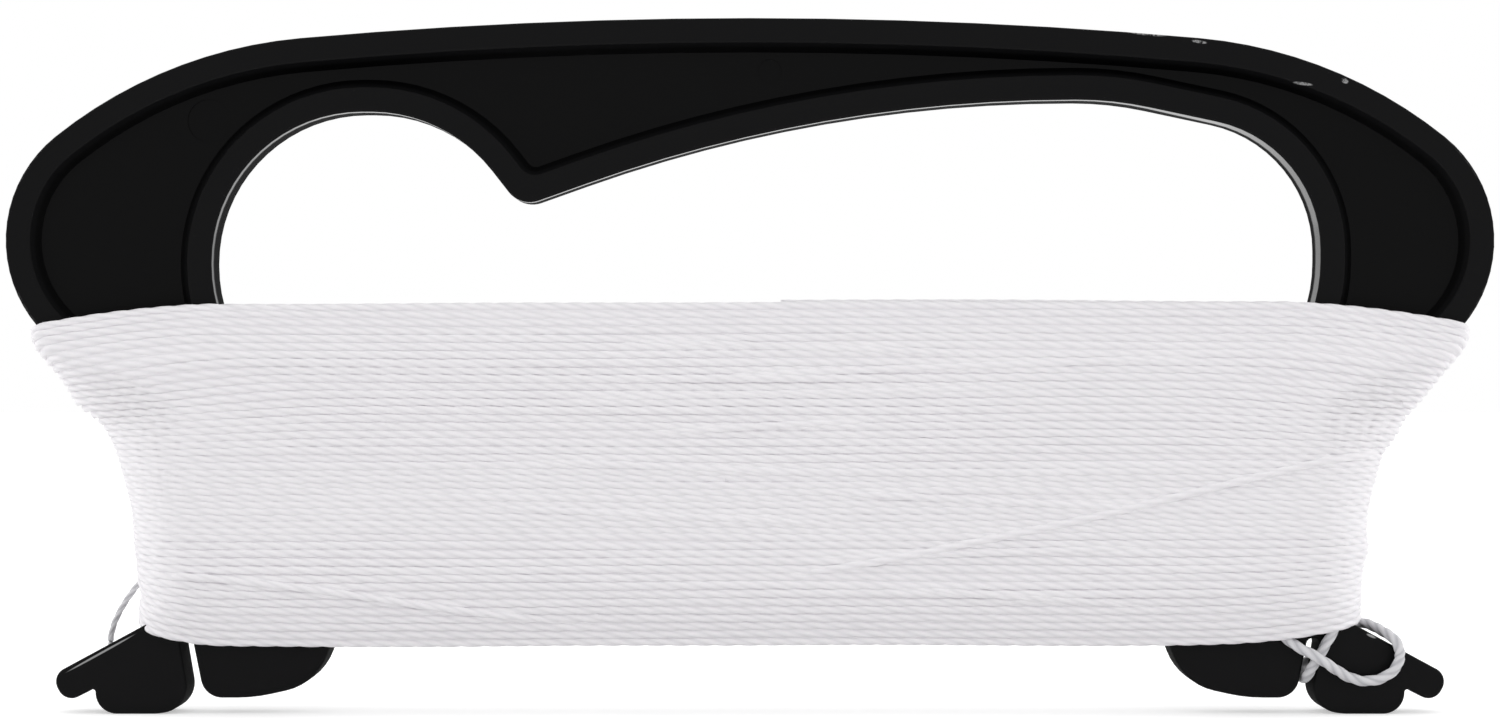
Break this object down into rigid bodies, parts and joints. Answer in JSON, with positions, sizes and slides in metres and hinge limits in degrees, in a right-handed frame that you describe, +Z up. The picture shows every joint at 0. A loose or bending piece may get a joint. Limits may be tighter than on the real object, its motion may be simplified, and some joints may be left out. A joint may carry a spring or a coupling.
{
  "type": "kite line winder",
  "caption": "D-shaped moulded kite line winder: a flat board with a long grip hole, a waist full of wound line, and hooked feet with keeper slots that hold the line's loose end.",
  "frame": {"origin": "midway between the two outer foot lobes, in the board's mid-plane, at the level of their soles", "axes": "+X to the right along the board, +Y away from the viewer through its thickness, +Z up from the feet to the grip bar"},
  "size_m": [0.26, 0.0198, 0.1215],
  "materials": {
    "board": "satin, faint moulded grain",
    "line": "three-ply twisted line, slightly shiny"
  },
  "bodies": {
    "root": {"winder_frame": "board", "line_core": "line", "line_outer_turns": "line", "line_end_loop": "line", "line_start_tail": "line"}
  },
  "joints": []
}
